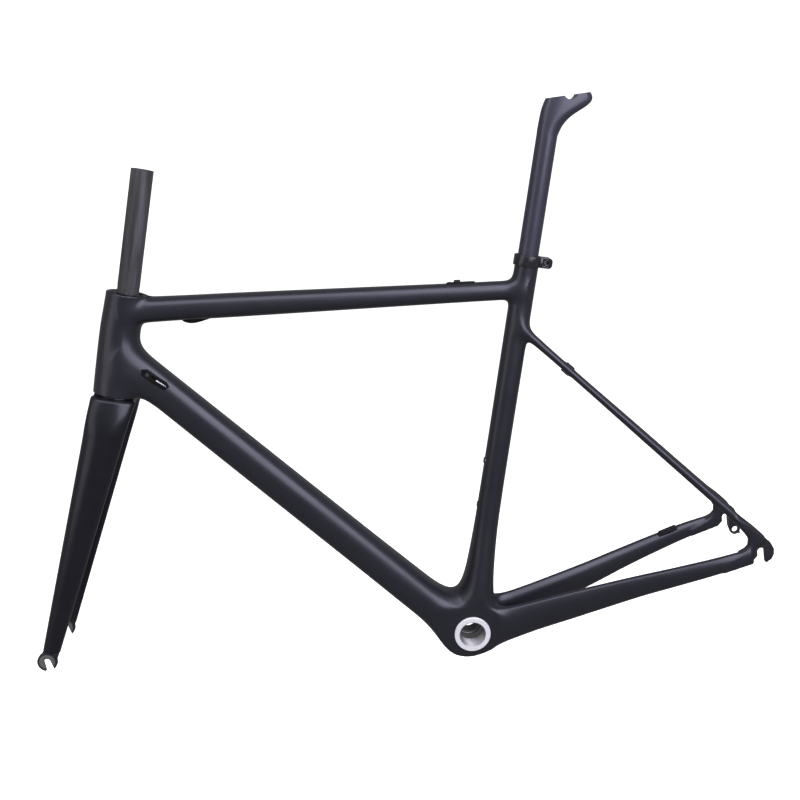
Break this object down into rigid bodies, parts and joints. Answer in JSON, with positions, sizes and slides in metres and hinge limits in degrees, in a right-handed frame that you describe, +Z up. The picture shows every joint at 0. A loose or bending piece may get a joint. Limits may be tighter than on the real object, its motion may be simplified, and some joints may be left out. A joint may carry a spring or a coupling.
{
  "type": "bicycle frame",
  "caption": "Black carbon road bicycle frame with fork, uncut steerer, seat post and seat clamp, ready for its headset, wheels and cables.",
  "frame": {"origin": "centre of the bottom bracket shell", "axes": "+X forward, the way the bicycle rides; +Y to the rider's left, along the bottom bracket axis; +Z up, with both wheel axles level"},
  "size_m": [1.0159, 0.1552, 0.7398],
  "materials": {
    "frame_carbon": "black painted carbon under clear lacquer",
    "fork_carbon": "black painted carbon under clear lacquer",
    "steerer_carbon": "bare ground carbon, streaky and unlacquered",
    "post_carbon": "satin black carbon",
    "front_dropout": "black, rubbed grey where the axle clamps",
    "rear_dropout": "black anodised",
    "raw_aluminium": "machined, uncoated",
    "clamp_black": "glossy black anodised",
    "bright_steel": "bright fastener steel",
    "insert_black": "black fastener",
    "insert_metal": "bare metal sleeve",
    "port_black": "black moulded cable stop",
    "race_black": "black anodised ring",
    "bearing_steel": "ground bearing steel"
  },
  "bodies": {
    "frame": {"head_tube": "frame_carbon", "seat_tube": "frame_carbon", "top_tube": "frame_carbon", "down_tube": "frame_carbon", "bb_junction": "frame_carbon", "chainstay_left": "frame_carbon", "chainstay_right": "frame_carbon", "seatstay_left": "frame_carbon", "seatstay_right": "frame_carbon", "brake_bridge": "frame_carbon", "dropout_left": "rear_dropout", "dropout_right": "rear_dropout", "derailleur_hanger": "rear_dropout", "bb_shell": "raw_aluminium", "seat_clamp_band": "clamp_black", "seat_clamp_bolt": "bright_steel", "seat_clamp_nut": "bright_steel", "bottle_inserts": "insert_black", "bottle_screws": "insert_black", "brake_bridge_insert": "insert_metal", "hanger_bolts": "bright_steel", "port_screws": "bright_steel", "toptube_stop_screw": "bright_steel", "toptube_cable_stop": "port_black", "toptube_cable_entry": "port_black", "downtube_port_left": "port_black", "downtube_port_right": "port_black", "chainstay_cable_stop": "port_black", "upper_bearing_outer_race": "bearing_steel", "lower_bearing_outer_race": "bearing_steel"},
    "fork": {"steerer": "steerer_carbon", "fork_crown": "fork_carbon", "fork_blade_left": "fork_carbon", "fork_blade_right": "fork_carbon", "fork_tip_left": "front_dropout", "fork_tip_right": "front_dropout", "crown_brake_insert": "insert_metal", "crown_race": "race_black", "centring_ring": "race_black", "upper_bearing_inner_race": "bearing_steel", "lower_bearing_inner_race": "bearing_steel"},
    "upper_balls": {"upper_bearing_balls": "bearing_steel"},
    "lower_balls": {"lower_bearing_balls": "bearing_steel"},
    "seatpost": {"seatpost_tube": "post_carbon", "seatpost_head": "post_carbon"}
  },
  "joints": [
    {"name": "steering", "type": "hinge", "parent": "frame", "child": "fork", "pos_m": [0.4239, 0, 0.40767], "axis": [-0.314, 0, 0.9494], "continuous": true},
    {"name": "upper_balls_turn", "type": "hinge", "parent": "frame", "child": "upper_balls", "pos_m": [0.38159, 0, 0.53561], "axis": [-0.314, 0, 0.9494], "continuous": true},
    {"name": "lower_balls_turn", "type": "hinge", "parent": "frame", "child": "lower_balls", "pos_m": [0.42154, 0, 0.41479], "axis": [-0.314, 0, 0.9494], "continuous": true},
    {"name": "seatpost_height", "type": "slide", "parent": "frame", "child": "seatpost", "axis": [-0.2714, 0, 0.9625], "range_m": [-0.115, 0.065]}
  ],
  "couplings": [
    {"joint": "upper_balls_turn", "follows": "steering", "ratio": 0.4556},
    {"joint": "lower_balls_turn", "follows": "steering", "ratio": 0.4652}
  ]
}
